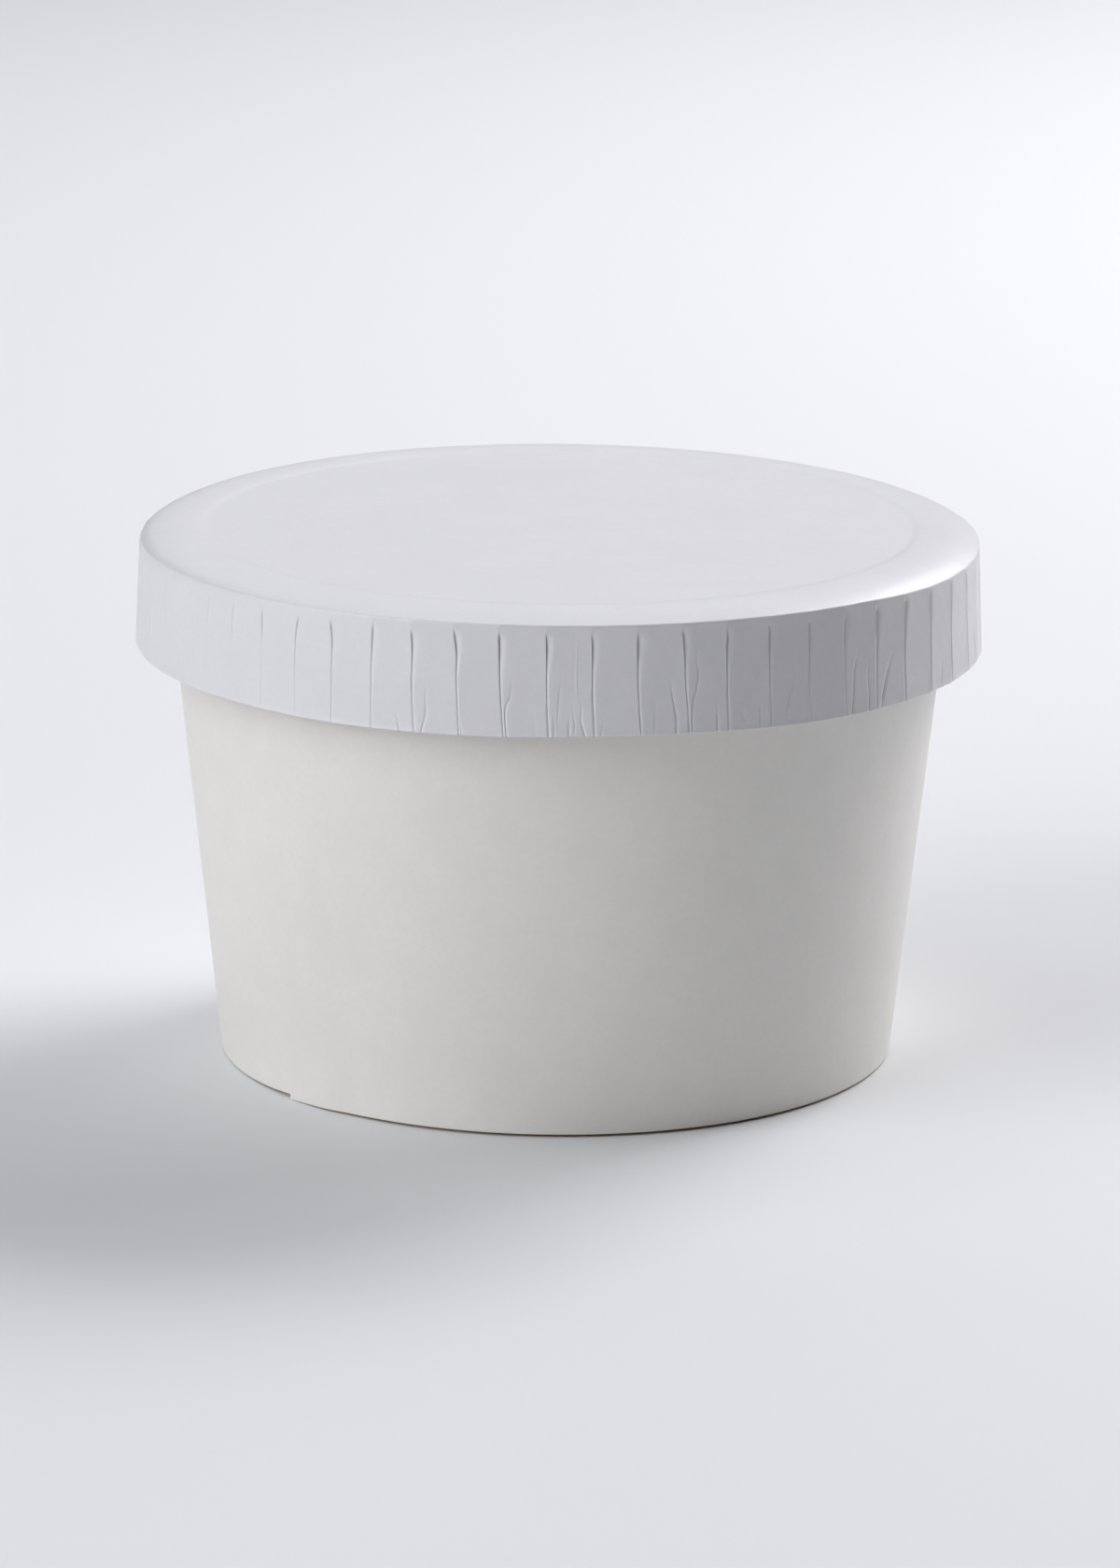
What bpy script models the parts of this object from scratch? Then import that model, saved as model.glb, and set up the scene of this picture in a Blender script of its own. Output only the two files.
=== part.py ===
"""Round paper food tub with a pressed paper lid, for Blender 4.5.

The tub's sidewall is one conical sheet of board. Its ends lap down one side,
its mouth is rolled outwards into a bead, and its foot is folded in and up into
a hem. A flat base disc sits on the hem, above the table. The lid is one sheet
of paper pressed over the mouth: a flat disc, a low crown round it, a rounded
shoulder, and a skirt whose spare paper is gathered into narrow pleats.

The tub is shut, so it is solid from its base disc to its mouth.

Units are metres. +Z is up, and the origin is at the centre of the foot.
"""

import math

import bmesh
import bpy

MM = 0.001

# Overall sizes
HEIGHT = 74.6 * MM
CLEARANCE = 0.3 * MM

# Tub: the outside of its wall is a cone
FOOT_RADIUS = 47.2 * MM
WALL_TAPER = 0.1063
FOOT_ROUNDING = 0.4 * MM
HEM_WIDTH = 1.25 * MM
HEM_HEIGHT = 6.0 * MM
WALL_BOARD = 0.45 * MM
WALL_TOP_HEIGHT = 70.2 * MM
MOUTH_HEIGHT = 73.0 * MM

# Tub: the bead rolled round its mouth
BEAD_CENTRE_RADIUS = 55.85 * MM
BEAD_CENTRE_HEIGHT = 71.7 * MM
BEAD_RADIUS = 1.45 * MM
BEAD_START_DEG = 116.0
BEAD_END_DEG = -140.0
BEAD_STEPS = 8

# Tub: where the wall's outer end laps over its inner end
SEAM_DEG = 220.3
SEAM_STEP_DEG = 0.3
LAP_STEP = 0.4 * MM
LAP_FLAT_DEG = 3.0
LAP_FADE_DEG = 14.0
LAP_STEP_ON_BEAD = 0.12 * MM

# Base disc, held above the hem
BASE_BOARD = 0.5 * MM

# Lid: disc, crown and shoulder
LID_PAPER = 0.45 * MM
DISC_RADIUS = 49.1 * MM
DISC_HEIGHT = 74.45 * MM
RAMP_RADIUS = 50.0 * MM
RAMP_HEIGHT = 74.53 * MM
CROWN_RADIUS = 51.6 * MM
SHOULDER_RADIUS = 58.3 * MM
SHOULDER_HEIGHT = 72.3 * MM
SHOULDER_SQUARENESS = 2.3
SHOULDER_STEPS = 6

# Lid: skirt and pleats
SKIRT_EDGE_RADIUS = 59.0 * MM
SKIRT_EDGE_HEIGHT = 58.5 * MM
PLEATS = 60
PLEAT_PHASE_DEG = 268.4
PLEAT_HALF_WIDTH_DEG = 0.9
PLEAT_DEPTH = 0.35 * MM
PLEAT_DEPTH_AT_EDGE = 0.15 * MM
PLEAT_FULL_HEIGHT = 71.0 * MM

# Facets
TUB_COLUMNS = 96
BASE_COLUMNS = 60
SMOOTH_ANGLE_DEG = 35.0

# Finishes: colour and roughness
LID_WHITE = (0.80, 0.80, 0.83, 1.0)
TUB_WHITE = (0.76, 0.76, 0.76, 1.0)
BASE_WHITE = (0.74, 0.73, 0.71, 1.0)


def clear_scene():
    """Remove whatever the file holds."""
    for obj in list(bpy.data.objects):
        bpy.data.objects.remove(obj, do_unlink=True)


def paper(name, colour, roughness):
    """Make a paper material."""
    material = bpy.data.materials.new(name)
    material.use_nodes = True
    shader = material.node_tree.nodes["Principled BSDF"]
    shader.inputs["Base Color"].default_value = colour
    shader.inputs["Roughness"].default_value = roughness
    shader.inputs["Metallic"].default_value = 0.0
    return material


def plain(angle_deg):
    """The relief of a surface that stays round."""
    return 0.0


def turned_mesh(name, profile, angles_deg, relief=plain):
    """Turn a profile of (radius, height, relief depth) points about +Z.

    A point on the axis becomes one pole. Elsewhere relief(angle_deg), from -1
    to 1, says how much of the point's relief depth is added to its radius. The
    profile runs with the material on its right.
    """
    bm = bmesh.new()
    rings = []
    for radius, height, depth in profile:
        if radius == 0.0:
            rings.append([bm.verts.new((0.0, 0.0, height))])
            continue
        ring = []
        for angle_deg in angles_deg:
            reach = radius + depth * relief(angle_deg)
            angle = math.radians(angle_deg)
            ring.append(bm.verts.new((reach * math.cos(angle), reach * math.sin(angle), height)))
        rings.append(ring)
    count = len(angles_deg)
    for upper, lower in zip(rings, rings[1:]):
        for i in range(count):
            j = (i + 1) % count
            if len(upper) == 1:
                bm.faces.new((upper[0], lower[i], lower[j]))
            elif len(lower) == 1:
                bm.faces.new((upper[i], lower[0], upper[j]))
            else:
                bm.faces.new((upper[i], lower[i], lower[j], upper[j]))
    mesh = bpy.data.meshes.new(name)
    bm.to_mesh(mesh)
    bm.free()
    return mesh


def add_part(name, mesh, material):
    """Put a mesh in the scene as one smooth-shaded, named part."""
    mesh.materials.append(material)
    mesh.shade_smooth()
    mesh.set_sharp_from_angle(angle=math.radians(SMOOTH_ANGLE_DEG))
    obj = bpy.data.objects.new(name, mesh)
    bpy.context.scene.collection.objects.link(obj)
    return obj


def even_angles(count):
    """Angles of evenly spaced columns."""
    return [360.0 * i / count for i in range(count)]


def wall_radius(height):
    """Outer radius of the tub's wall."""
    return FOOT_RADIUS + WALL_TAPER * height


def seam_angles():
    """Angles of the tub's columns: two close together at the seam, the rest even."""
    first = SEAM_DEG + SEAM_STEP_DEG / 2
    pitch = (360.0 - SEAM_STEP_DEG) / (TUB_COLUMNS - 1)
    return [first + pitch * i for i in range(TUB_COLUMNS)]


def lap(angle_deg):
    """The relief of the double wall: 1 beside the seam, fading to 0 where the inner end stops."""
    past_seam = (angle_deg - SEAM_DEG) % 360.0
    fade = (past_seam - LAP_FLAT_DEG) / (LAP_FADE_DEG - LAP_FLAT_DEG)
    fade = min(max(fade, 0.0), 1.0)
    return 1.0 - fade * fade * (3.0 - 2.0 * fade)


def bead_profile():
    """Points round the rolled bead, from the mouth over its top and back to the wall."""
    points = []
    for i in range(BEAD_STEPS + 1):
        turn = math.radians(BEAD_START_DEG + (BEAD_END_DEG - BEAD_START_DEG) * i / BEAD_STEPS)
        radius = BEAD_CENTRE_RADIUS + BEAD_RADIUS * math.cos(turn)
        height = BEAD_CENTRE_HEIGHT + BEAD_RADIUS * math.sin(turn)
        points.append((radius, height, LAP_STEP_ON_BEAD))
    return points


def base_seat_height():
    """Height of the underside of the base disc."""
    return HEM_HEIGHT + CLEARANCE


def recess_top_height():
    """Height of the solid above the base disc."""
    return base_seat_height() + BASE_BOARD + CLEARANCE


def tub_profile():
    """The tub's section, from the middle of its mouth round to the middle of its recess."""
    foot_inner = FOOT_RADIUS - HEM_WIDTH
    recess_top = recess_top_height()
    points = [(0.0, MOUTH_HEIGHT, 0.0)]
    points += bead_profile()
    points.append((wall_radius(WALL_TOP_HEIGHT), WALL_TOP_HEIGHT, LAP_STEP))
    points.append((wall_radius(FOOT_ROUNDING), FOOT_ROUNDING, LAP_STEP))
    points.append((FOOT_RADIUS - FOOT_ROUNDING, 0.0, LAP_STEP))
    points.append((foot_inner, 0.0, 0.0))
    points.append((foot_inner + WALL_TAPER * HEM_HEIGHT, HEM_HEIGHT, 0.0))
    points.append((wall_radius(HEM_HEIGHT) - WALL_BOARD, HEM_HEIGHT, 0.0))
    points.append((wall_radius(recess_top) - WALL_BOARD, recess_top, 0.0))
    points.append((0.0, recess_top, 0.0))
    return points


def make_tub():
    """The tub: wall, bead, hem and the solid inside them."""
    mesh = turned_mesh("tub", tub_profile(), seam_angles(), lap)
    return add_part("tub", mesh, paper("tub_paper", TUB_WHITE, 0.75))


def make_base_disc():
    """The flat disc that closes the tub's foot, above the hem."""
    lower = base_seat_height()
    upper = lower + BASE_BOARD
    radius = wall_radius(lower) - WALL_BOARD - CLEARANCE
    profile = [(0.0, upper, 0.0), (radius, upper, 0.0), (radius, lower, 0.0), (0.0, lower, 0.0)]
    mesh = turned_mesh("base_disc", profile, even_angles(BASE_COLUMNS))
    return add_part("base_disc", mesh, paper("base_paper", BASE_WHITE, 0.85))


def shoulder_profile():
    """Points from the crown's top over the rounded shoulder to the head of the skirt."""
    reach = SHOULDER_RADIUS - CROWN_RADIUS
    drop = HEIGHT - SHOULDER_HEIGHT
    power = 2.0 / SHOULDER_SQUARENESS
    points = []
    for i in range(SHOULDER_STEPS + 1):
        turn = math.pi / 2 * i / SHOULDER_STEPS
        radius = CROWN_RADIUS + reach * math.sin(turn) ** power
        height = SHOULDER_HEIGHT + drop * max(math.cos(turn), 0.0) ** power
        points.append((radius, height, 0.0))
    return points


def skirt_radius(height):
    """Outer radius of the lid's skirt."""
    share = (SHOULDER_HEIGHT - height) / (SHOULDER_HEIGHT - SKIRT_EDGE_HEIGHT)
    return SHOULDER_RADIUS + (SKIRT_EDGE_RADIUS - SHOULDER_RADIUS) * share


def lid_profile():
    """The lid's outer face, from the middle of its disc to the cut edge of its skirt."""
    points = [(0.0, DISC_HEIGHT, 0.0)]
    points.append((DISC_RADIUS, DISC_HEIGHT, 0.0))
    points.append((RAMP_RADIUS, RAMP_HEIGHT, 0.0))
    points += shoulder_profile()
    points.append((skirt_radius(PLEAT_FULL_HEIGHT), PLEAT_FULL_HEIGHT, PLEAT_DEPTH))
    points.append((SKIRT_EDGE_RADIUS, SKIRT_EDGE_HEIGHT, PLEAT_DEPTH_AT_EDGE))
    return points


def pleat_angles():
    """Angles of the lid's columns: each pleat's floor, its two lips and the panel's middle."""
    pitch = 360.0 / PLEATS
    offsets = (0.0, PLEAT_HALF_WIDTH_DEG, pitch / 2, pitch - PLEAT_HALF_WIDTH_DEG)
    return [PLEAT_PHASE_DEG + pitch * i + offset for i in range(PLEATS) for offset in offsets]


def pleat(angle_deg):
    """The relief of the skirt: sunk at each pleat's floor, and round elsewhere."""
    pitch = 360.0 / PLEATS
    past_floor = (angle_deg - PLEAT_PHASE_DEG) % pitch
    on_floor = min(past_floor, pitch - past_floor) < PLEAT_HALF_WIDTH_DEG / 2
    return -1.0 if on_floor else 0.0


def make_lid():
    """The lid: one pressed sheet, given its paper's thickness inwards."""
    mesh = turned_mesh("lid", lid_profile(), pleat_angles(), pleat)
    lid = add_part("lid", mesh, paper("lid_paper", LID_WHITE, 0.45))
    thickness = lid.modifiers.new("paper_thickness", "SOLIDIFY")
    thickness.thickness = LID_PAPER
    thickness.offset = -1.0
    thickness.use_even_offset = True
    return lid


def main():
    """Build the tub, its base disc and its lid."""
    clear_scene()
    make_tub()
    make_base_disc()
    make_lid()


main()
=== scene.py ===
"""Dressed model of a round paper food tub with a pressed paper lid, in its studio.

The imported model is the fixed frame. Three pieces stand for its three nodes: the pressed lid
with its pleats and creases, the tub of lapped board with its rolled bead and folded foot, and
the base disc inside the foot. Each is a closed sheet or solid, drawn as a section, spun round
the tub's axis and then pressed into its relief.

Units are metres, +Z is up and the origin is at the centre of the foot. Angles are in degrees
round +Z: 0 is the right of the tub and 270 its front.
"""

import logging
import math
import random
from collections.abc import Sequence
from dataclasses import dataclass, field
from enum import Enum

import bpy
import numpy as np
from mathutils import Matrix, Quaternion, Vector


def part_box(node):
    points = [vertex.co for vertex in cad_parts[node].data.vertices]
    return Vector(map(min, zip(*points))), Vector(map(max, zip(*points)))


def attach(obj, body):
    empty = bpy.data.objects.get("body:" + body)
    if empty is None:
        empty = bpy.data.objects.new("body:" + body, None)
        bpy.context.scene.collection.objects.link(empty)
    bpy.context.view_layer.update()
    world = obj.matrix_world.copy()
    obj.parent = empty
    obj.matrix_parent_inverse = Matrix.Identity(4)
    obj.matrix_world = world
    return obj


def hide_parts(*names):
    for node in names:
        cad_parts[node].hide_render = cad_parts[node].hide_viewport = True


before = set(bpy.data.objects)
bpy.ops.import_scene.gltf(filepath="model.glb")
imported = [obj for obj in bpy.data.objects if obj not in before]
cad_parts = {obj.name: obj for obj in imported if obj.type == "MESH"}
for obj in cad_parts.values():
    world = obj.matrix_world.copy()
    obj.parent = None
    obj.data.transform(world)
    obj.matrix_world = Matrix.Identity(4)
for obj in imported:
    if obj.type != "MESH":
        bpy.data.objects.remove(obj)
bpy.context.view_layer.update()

MM = 0.001
ON_AXIS = 0.5 * MM
SECTORS = 8
LOG = logging.getLogger("paper_tub")

# Places of the colour sockets on a mix node
MIX_BASE, MIX_OVER, MIX_RESULT = 6, 7, 2

Point = tuple[float, float]
Array = np.ndarray
Colour = tuple[float, float, float]
Socket = bpy.types.NodeSocket


class Slot(Enum):
    """Names of three material slots."""

    LID = "lid_paper"
    TUB = "tub_paper"
    BASE = "base_paper"


# ---------------------------------------------------------------------------------------------
# Curves


def smooth_curve(points: Sequence[Point], at: Array | float) -> Array:
    """Read a smooth curve through a few points. It stays level beyond its ends.

    Args:
        points: Points of (position, value), in any order.
        at: Positions to read it at.

    Returns:
        The curve's values.
    """
    x, y = np.array(sorted(points), float).T
    slope = np.gradient(y, x)
    span = np.clip(np.searchsorted(x, at) - 1, 0, len(x) - 2)
    width = x[span + 1] - x[span]
    t = np.clip((at - x[span]) / width, 0.0, 1.0)
    start = (1 + 2 * t) * (1 - t) ** 2 * y[span] + t * (1 - t) ** 2 * width * slope[span]
    end = t * t * (3 - 2 * t) * y[span + 1] + t * t * (t - 1) * width * slope[span + 1]
    return start + end


def ease(t: Array | float) -> Array:
    """Smooth step from 0 to 1."""
    t = np.clip(t, 0.0, 1.0)
    return t * t * (3 - 2 * t)


def turn_between(angle: Array | float, start: Array | float) -> Array:
    """Signed turn from start to angle, from -180 to 180 degrees."""
    return (np.asarray(angle) - start + 180.0) % 360.0 - 180.0


def steps(first: float, last: float, count: int) -> list[float]:
    """Even steps from first to last, both included."""
    return [first + (last - first) * i / count for i in range(count + 1)]


# ---------------------------------------------------------------------------------------------
# Modelling bench


class Bench:
    """Blender's modelling operators, used as by hand."""

    @staticmethod
    def deselect() -> None:
        """Leave edit mode and deselect every object."""
        if bpy.context.object and bpy.context.object.mode != "OBJECT":
            bpy.ops.object.mode_set(mode="OBJECT")
        bpy.ops.object.select_all(action="DESELECT")

    @classmethod
    def draw_section(cls, name: str, outline: Sequence[Point]) -> bpy.types.Object:
        """Draw half a section in the plane y = 0, as one chain of edges.

        Args:
            name: Name of the new piece.
            outline: Points of (radius, height), from the axis round to the axis.

        Returns:
            The piece, in edit mode with its whole section selected.
        """
        cls.deselect()
        radius, height = outline[0]
        bpy.ops.mesh.primitive_plane_add(size=MM, location=(radius, 0.0, height))
        piece = bpy.context.object
        piece.name = piece.data.name = name
        bpy.ops.object.mode_set(mode="EDIT")
        bpy.ops.mesh.select_all(action="SELECT")
        bpy.ops.mesh.merge(type="CENTER")
        for (radius, height), (next_radius, next_height) in zip(outline, outline[1:]):
            move = (next_radius - radius, 0.0, next_height - height)
            bpy.ops.mesh.extrude_region_move(TRANSFORM_OT_translate={"value": move})
        bpy.ops.mesh.select_all(action="SELECT")
        return piece

    @classmethod
    def turn(cls, name: str, outline: Sequence[Point], columns: int) -> bpy.types.Object:
        """Turn half a section round the axis into a closed solid.

        One sector is spun, and then copied and turned until it meets itself.

        Args:
            name: Name of the new piece.
            outline: Points of (radius, height), from the axis round to the axis.
            columns: Number of columns round the axis, a multiple of SECTORS.

        Returns:
            The piece, at the origin and in object mode, with its faces pointing outwards.
        """
        piece = cls.draw_section(name, outline)
        sector = math.tau / SECTORS
        bpy.ops.mesh.spin(
            steps=columns // SECTORS, angle=sector, center=(0.0, 0.0, 0.0), axis=(0.0, 0.0, 1.0)
        )
        while sector < math.tau - 0.01:
            bpy.ops.mesh.select_all(action="SELECT")
            bpy.ops.mesh.duplicate()
            bpy.ops.transform.rotate(value=sector, orient_axis="Z", center_override=(0.0, 0.0, 0.0))
            sector *= 2
        bpy.ops.mesh.select_all(action="SELECT")
        bpy.ops.mesh.remove_doubles(threshold=0.002 * MM)
        bpy.ops.mesh.normals_make_consistent(inside=False)
        bpy.ops.object.mode_set(mode="OBJECT")
        bpy.ops.object.transform_apply(location=True, rotation=True, scale=True)
        return piece

    @classmethod
    def shade(cls, piece: bpy.types.Object, angle: float) -> None:
        """Shade a piece smooth, apart from its sharp edges.

        Args:
            piece: The piece.
            angle: Least angle of a sharp edge.
        """
        cls.deselect()
        piece.select_set(True)
        bpy.context.view_layer.objects.active = piece
        bpy.ops.object.shade_smooth_by_angle(angle=math.radians(angle))


def spun_places(piece: bpy.types.Object, columns: int) -> tuple[Array, Array, Array]:
    """Read where the vertices of a spun piece lie.

    Args:
        piece: The piece.
        columns: Number of columns that it was spun with.

    Returns:
        The radius, the height and the number of the column of each vertex.
    """
    points = np.empty(len(piece.data.vertices) * 3)
    piece.data.vertices.foreach_get("co", points)
    x, y, height = points.reshape(-1, 3).T
    turn = np.degrees(np.arctan2(y, x)) % 360.0
    return np.hypot(x, y), height, np.rint(turn * columns / 360.0).astype(int) % columns


def move_vertices(piece: bpy.types.Object, radius: Array, angle: Array, height: Array) -> None:
    """Put every vertex of a piece at a new place.

    Args:
        piece: The piece.
        radius: Distance of each vertex from the axis.
        angle: Angle of each vertex.
        height: Height of each vertex.
    """
    turn = np.radians(angle)
    points = np.stack((radius * np.cos(turn), radius * np.sin(turn), height), axis=1)
    piece.data.vertices.foreach_set("co", points.ravel())
    piece.data.update()


def keep_attribute(piece: bpy.types.Object, name: str, values: Array) -> None:
    """Keep a value for every vertex, for the piece's finish to read."""
    attribute = piece.data.attributes.new(name, "FLOAT", "POINT")
    attribute.data.foreach_set("value", np.ascontiguousarray(values, dtype=np.float32))


# ---------------------------------------------------------------------------------------------
# Finishes


class NodeSheet:
    """The node tree of one material, with short calls for the nodes that paper needs."""

    def __init__(self, name: str) -> None:
        """Start a material with its shader and its object coordinates.

        Args:
            name: The material's name.
        """
        self.material = bpy.data.materials.new(name)
        self.material.use_nodes = True
        self.tree = self.material.node_tree
        self.shader = self.tree.nodes["Principled BSDF"]
        self.place = self.tree.nodes.new("ShaderNodeTexCoord").outputs["Object"]

    def link(self, source: Socket, target: Socket) -> None:
        """Join two sockets."""
        self.tree.links.new(source, target)

    def noise(self, grain: float, detail: float = 2.0) -> Socket:
        """Noise whose grain has a size in metres.

        Args:
            grain: Size of the noise's blots.
            detail: Number of finer layers.

        Returns:
            The noise's value socket, around 0.5.
        """
        node = self.tree.nodes.new("ShaderNodeTexNoise")
        node.inputs["Scale"].default_value = 1.0 / grain
        node.inputs["Detail"].default_value = detail
        self.link(self.place, node.inputs["Vector"])
        return node.outputs["Fac"]

    def specks(self, spacing: float, size: float) -> Socket:
        """Small round specks, one in each cell of a given spacing.

        Args:
            spacing: Mean distance between specks.
            size: Radius of a speck.

        Returns:
            A socket that is 1 in a speck and 0 elsewhere.
        """
        node = self.tree.nodes.new("ShaderNodeTexVoronoi")
        node.inputs["Scale"].default_value = 1.0 / spacing
        self.link(self.place, node.inputs["Vector"])
        return self.span(node.outputs["Distance"], size / spacing, size / spacing * 0.4, 0.0, 1.0)

    def span(
        self, value: Socket, low: float, high: float, to_low: float, to_high: float
    ) -> Socket:
        """Map a value from one range to another, and keep it inside.

        Args:
            value: Socket with the value.
            low: Start of the value's range.
            high: End of the value's range.
            to_low: Start of the new range.
            to_high: End of the new range.

        Returns:
            The mapped value's socket.
        """
        node = self.tree.nodes.new("ShaderNodeMapRange")
        for name, number in zip(
            ("From Min", "From Max", "To Min", "To Max"), (low, high, to_low, to_high)
        ):
            node.inputs[name].default_value = number
        self.link(value, node.inputs["Value"])
        return node.outputs["Result"]

    def attribute(self, name: str) -> Socket:
        """A value that the mesh keeps for each vertex.

        Args:
            name: The value's name.

        Returns:
            The value's socket.
        """
        node = self.tree.nodes.new("ShaderNodeAttribute")
        node.attribute_name = name
        return node.outputs["Fac"]

    def tint(self, base: Colour | Socket, colour: Colour, share: Socket) -> Socket:
        """Lay a colour over a base.

        Args:
            base: A colour, or a socket that gives one.
            colour: The colour laid over it.
            share: Socket with how much of it covers the base, from 0 to 1.

        Returns:
            The mixed colour's socket.
        """
        node = self.tree.nodes.new("ShaderNodeMix")
        node.data_type = "RGBA"
        if isinstance(base, Socket):
            self.link(base, node.inputs[MIX_BASE])
        else:
            node.inputs[MIX_BASE].default_value = (*base, 1.0)
        node.inputs[MIX_OVER].default_value = (*colour, 1.0)
        self.link(share, node.inputs["Factor"])
        return node.outputs[MIX_RESULT]

    def bump(self, height: Socket, depth: float, under: Socket | None = None) -> Socket:
        """Raise the surface.

        Args:
            height: Socket with how far each place is raised, from 0 to 1.
            depth: The greatest rise.
            under: The bump that this one lies on, if any.

        Returns:
            The bumped normal's socket.
        """
        node = self.tree.nodes.new("ShaderNodeBump")
        node.inputs["Distance"].default_value = depth
        self.link(height, node.inputs["Height"])
        if under is not None:
            self.link(under, node.inputs["Normal"])
        return node.outputs["Normal"]


@dataclass(frozen=True)
class PaperFinish:
    """A sheet of paper or board.

    Attributes:
        name: Name of the material.
        colour: Its colour in linear light.
        shade: Colour of its darker fibres.
        mottle: How much its fibres show, from 0 to 1.
        cloud: Size of its uneven patches.
        fibre: Size of its fibre clumps.
        roughness: Roughness of its face.
        gloss: Strength of the face's reflection.
        tooth: Depth of its surface grain.
        ior: Refractive index of its coating.
        speck_colour: Colour of the stray dark fibres.
        speck_spacing: Mean distance between them.
        speck_radius: Radius of a speck.
        unevenness: How far its roughness strays either way.
        painted_crack_shade: Painted shade laid on the paper deep in a fold's narrow crack.
        edge_colour: Colour laid along an edge: frayed fibres partly lightened as a painted
            highlight on the lid's cut edge, a darker brown on the tub's foot.
    """

    name: str
    colour: Colour
    shade: Colour
    mottle: float
    cloud: float
    fibre: float
    roughness: float
    gloss: float
    tooth: float
    ior: float = 1.5
    speck_colour: Colour = (0.42, 0.40, 0.38)
    speck_spacing: float = 14.0 * MM
    speck_radius: float = 0.22 * MM
    unevenness: float = 0.04
    painted_crack_shade: Colour = (0.36, 0.33, 0.32)
    edge_colour: Colour = (0.90, 0.89, 0.85)

    def material(self) -> bpy.types.Material:
        """Make the finish's material.

        Returns:
            The material.
        """
        sheet = NodeSheet(self.name)
        clouds = sheet.span(sheet.noise(self.cloud, 3.0), 0.3, 0.7, 0.0, self.mottle)
        fibres = sheet.span(sheet.noise(self.fibre, 4.0), 0.35, 0.75, 0.0, self.mottle)
        colour = sheet.tint(self.colour, self.shade, clouds)
        colour = sheet.tint(colour, self.shade, fibres)
        specks = sheet.specks(self.speck_spacing, self.speck_radius)
        colour = sheet.tint(colour, self.speck_colour, specks)
        # Painted shade: darkens the paper along the folds' narrow cracks, where shade falls
        colour = sheet.tint(colour, self.painted_crack_shade, sheet.attribute("fold"))
        # Edge colour: on the lid, frayed fibres partly lightened as a painted highlight where light
        # catches the cut edge; on the tub, a darker brown along the foot's lip
        colour = sheet.tint(colour, self.edge_colour, sheet.attribute("edge"))
        sheet.link(colour, sheet.shader.inputs["Base Color"])
        low, high = self.roughness - self.unevenness, self.roughness + self.unevenness
        rough = sheet.span(sheet.noise(self.fibre * 3, 2.0), 0.3, 0.7, low, high)
        sheet.link(rough, sheet.shader.inputs["Roughness"])
        coarse = sheet.bump(sheet.noise(self.cloud, 2.0), self.tooth * 2.0)
        fine = sheet.bump(sheet.noise(self.fibre * 0.6, 3.0), self.tooth, coarse)
        sheet.link(fine, sheet.shader.inputs["Normal"])
        sheet.shader.inputs["Specular IOR Level"].default_value = self.gloss
        sheet.shader.inputs["IOR"].default_value = self.ior
        return sheet.material


@dataclass(frozen=True)
class CutEdgeFinish:
    """The raw edge of a sheet, where its fibres are cut through; also the darker brown underside of
    the tub's foot.

    Attributes:
        name: Name of the material.
        colour: Its colour in linear light.
        shade: Colour of the darker layers in it.
        layer: Thickness of those layers.
        tooth: Depth of its surface grain.
        roughness: Roughness of its face.
        gloss: Strength of the face's reflection.
    """

    name: str
    colour: Colour
    shade: Colour
    layer: float = 0.12 * MM
    tooth: float = 0.03 * MM
    roughness: float = 0.9
    gloss: float = 0.2

    def material(self) -> bpy.types.Material:
        """Make the finish's material.

        Returns:
            The material.
        """
        sheet = NodeSheet(self.name)
        grain = sheet.noise(self.layer, 3.0)
        colour = sheet.tint(self.colour, self.shade, sheet.span(grain, 0.35, 0.65, 0.0, 0.6))
        sheet.link(colour, sheet.shader.inputs["Base Color"])
        sheet.link(sheet.bump(grain, self.tooth), sheet.shader.inputs["Normal"])
        sheet.shader.inputs["Roughness"].default_value = self.roughness
        sheet.shader.inputs["Specular IOR Level"].default_value = self.gloss
        return sheet.material


LID_PAPER = PaperFinish(
    "satin_lid_paper",
    colour=(0.719, 0.708, 0.721),
    shade=(0.669, 0.658, 0.672),
    mottle=0.5,
    cloud=9.0 * MM,
    fibre=0.8 * MM,
    roughness=0.42,
    gloss=0.75,
    tooth=0.011 * MM,
    speck_spacing=26.0 * MM,
)
TUB_BOARD = PaperFinish(
    "matte_tub_board",
    colour=(0.805, 0.777, 0.731),
    shade=(0.745, 0.717, 0.671),
    mottle=0.5,
    cloud=6.0 * MM,
    fibre=0.8 * MM,
    roughness=0.45,
    gloss=1.0,
    tooth=0.012 * MM,
    ior=1.72,
    # Darker brown along the foot's lip
    edge_colour=(0.40, 0.29, 0.19),
)
BASE_BOARD = PaperFinish(
    "plain_base_board",
    colour=(0.76, 0.744, 0.705),
    shade=(0.66, 0.644, 0.605),
    mottle=0.5,
    cloud=3.2 * MM,
    fibre=0.6 * MM,
    roughness=0.8,
    gloss=0.3,
    tooth=0.012 * MM,
)
LID_EDGE = CutEdgeFinish("cut_lid_edge", (0.80, 0.79, 0.76), (0.68, 0.66, 0.60))
# Darker brown for the foot's underside and the hem's raw edge
FOOT_EDGE = CutEdgeFinish("dark_brown_foot_edge", (0.44, 0.32, 0.21), (0.30, 0.21, 0.13))


# ---------------------------------------------------------------------------------------------
# Folds in the lid's skirt


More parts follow.
